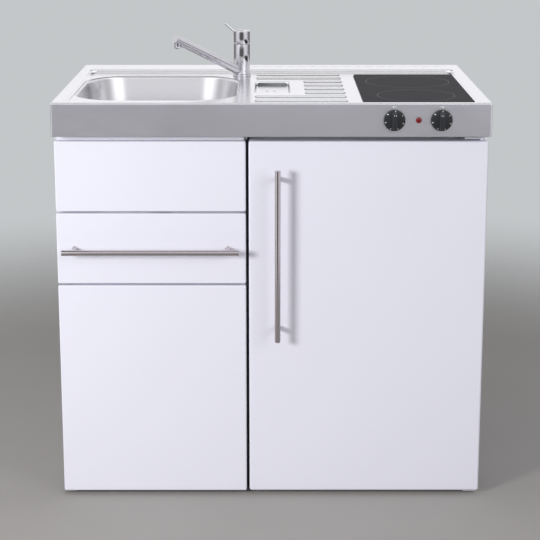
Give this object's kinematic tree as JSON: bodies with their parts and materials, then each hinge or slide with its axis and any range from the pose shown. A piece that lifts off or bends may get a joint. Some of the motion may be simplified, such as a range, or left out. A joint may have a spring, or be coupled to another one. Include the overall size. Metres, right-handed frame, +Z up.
{
  "type": "kitchenette unit with sink and hob",
  "caption": "Mini kitchen: pressed steel worktop with sink, drainer, mixer tap and glass hob over a drawer and cupboard unit and a built-under refrigerator.",
  "frame": {"origin": "on the floor, under the middle of the outline seen from above", "axes": "+X to the right seen from the front, +Y to the wall, +Z up"},
  "size_m": [0.9, 0.621, 0.9762],
  "materials": {
    "deck_steel": "pressed stainless, fine brushed grain",
    "handle_steel": "brushed stainless bar",
    "chrome": "polished chrome plate",
    "white_enamel": "smooth white stoved paint, half gloss",
    "carcass_white": "white painted sheet, satin",
    "zinc_steel": "zinc plated sheet, dull",
    "hob_glass": "dark glass ceramic, polished",
    "shelf_glass": "clear toughened glass",
    "black_plastic": "fine textured moulding",
    "white_plastic": "smooth moulding",
    "grey_plastic": "fine textured moulding",
    "red_lens": "clear red facetted lens",
    "insulation": "pressed heat insulation, chalky",
    "seal_rubber": "soft magnetic door seal",
    "black_paint": "black paint, satin",
    "clear_plastic": "clear tinted moulding"
  },
  "bodies": {
    "root": {"worktop": "deck_steel", "sink_bowl": "deck_steel", "waste_flange": "chrome", "tap_base": "chrome", "fascia": "white_enamel", "fridge_cabinet": "white_enamel", "fridge_hinge_top": "white_enamel", "fridge_hinge_bottom": "white_enamel", "side_left": "carcass_white", "side_right": "carcass_white", "unit_floor": "carcass_white", "unit_back": "carcass_white", "hob_pan": "zinc_steel", "runner_left": "zinc_steel", "runner_right": "zinc_steel", "cupboard_hinge_top": "zinc_steel", "cupboard_hinge_bottom": "zinc_steel", "compressor_tray": "zinc_steel", "hob_glass": "hob_glass", "shelf_upper": "shelf_glass", "shelf_lower": "shelf_glass", "foot_front_left": "black_plastic", "foot_front_right": "black_plastic", "foot_rear_left": "black_plastic", "foot_rear_right": "black_plastic", "fridge_foot_left": "black_plastic", "fridge_foot_right": "black_plastic", "trap_pipe": "white_plastic", "trap_bottle": "white_plastic", "fridge_liner": "white_plastic", "freezer_box": "white_plastic", "thermostat_housing": "white_plastic", "overflow_pipe": "grey_plastic", "hob_switch_left": "grey_plastic", "hob_switch_right": "grey_plastic", "pilot_lamp": "red_lens", "heater_rear": "insulation", "heater_front": "insulation", "compressor": "black_paint", "condenser": "black_paint", "crisper": "clear_plastic"},
    "drawer": {"drawer_box": "carcass_white", "drawer_front": "white_enamel", "drawer_handle": "handle_steel"},
    "cupboard_door": {"cupboard_door": "white_enamel"},
    "fridge_door": {"fridge_door": "white_enamel", "fridge_door_liner": "white_plastic", "fridge_gasket": "seal_rubber", "fridge_bin_lower": "clear_plastic", "fridge_bin_upper": "clear_plastic", "fridge_handle": "handle_steel"},
    "freezer_flap": {"freezer_flap": "white_plastic"},
    "thermostat_dial": {"thermostat_dial": "grey_plastic"},
    "knob_left": {"knob_left": "black_plastic"},
    "knob_right": {"knob_right": "black_plastic"},
    "tap_body": {"tap_body": "chrome", "tap_aerator": "chrome"},
    "tap_head": {"tap_head": "chrome"},
    "tap_lever": {"tap_lever": "chrome"},
    "strainer_basket": {"strainer_basket": "chrome"}
  },
  "joints": [
    {"name": "drawer_slide", "type": "slide", "parent": "root", "child": "drawer", "axis": [0, -1, 0], "range_m": [0, 0.3]},
    {"name": "cupboard_door_hinge", "type": "hinge", "parent": "root", "child": "cupboard_door", "pos_m": [-0.441, -0.2565, 0.24], "axis": [0, 0, -1], "range_deg": [0, 105]},
    {"name": "fridge_door_hinge", "type": "hinge", "parent": "root", "child": "fridge_door", "pos_m": [0.435, -0.2515, 0.394], "axis": [0, 0, 1], "range_deg": [0, 110]},
    {"name": "freezer_flap_hinge", "type": "hinge", "parent": "root", "child": "freezer_flap", "pos_m": [0.2, -0.0835, 0.6351], "axis": [1, 0, 0], "range_deg": [0, 90]},
    {"name": "thermostat_turn", "type": "hinge", "parent": "root", "child": "thermostat_dial", "pos_m": [0.3774, -0.0195, 0.5861], "axis": [-1, 0, 0], "range_deg": [0, 270]},
    {"name": "knob_left_turn", "type": "hinge", "parent": "root", "child": "knob_left", "pos_m": [0.2505, -0.2895, 0.825], "axis": [0, -1, 0], "continuous": true},
    {"name": "knob_right_turn", "type": "hinge", "parent": "root", "child": "knob_right", "pos_m": [0.3465, -0.2895, 0.825], "axis": [0, -1, 0], "continuous": true},
    {"name": "tap_spout_swivel", "type": "hinge", "parent": "root", "child": "tap_body", "pos_m": [-0.0686, 0.1675, 0.853], "axis": [0, 0, 1], "range_deg": [-70, 70]},
    {"name": "tap_head_turn", "type": "hinge", "parent": "tap_body", "child": "tap_head", "pos_m": [-0.0686, 0.1675, 0.93], "axis": [0, 0, 1], "range_deg": [-45, 45]},
    {"name": "tap_lever_lift", "type": "hinge", "parent": "tap_head", "child": "tap_lever", "pos_m": [-0.0686, 0.1675, 0.94], "axis": [0, 1, 0], "range_deg": [0, 22]},
    {"name": "strainer_lift", "type": "slide", "parent": "root", "child": "strainer_basket", "axis": [0, 0, 1], "range_m": [0, 0.035]}
  ]
}
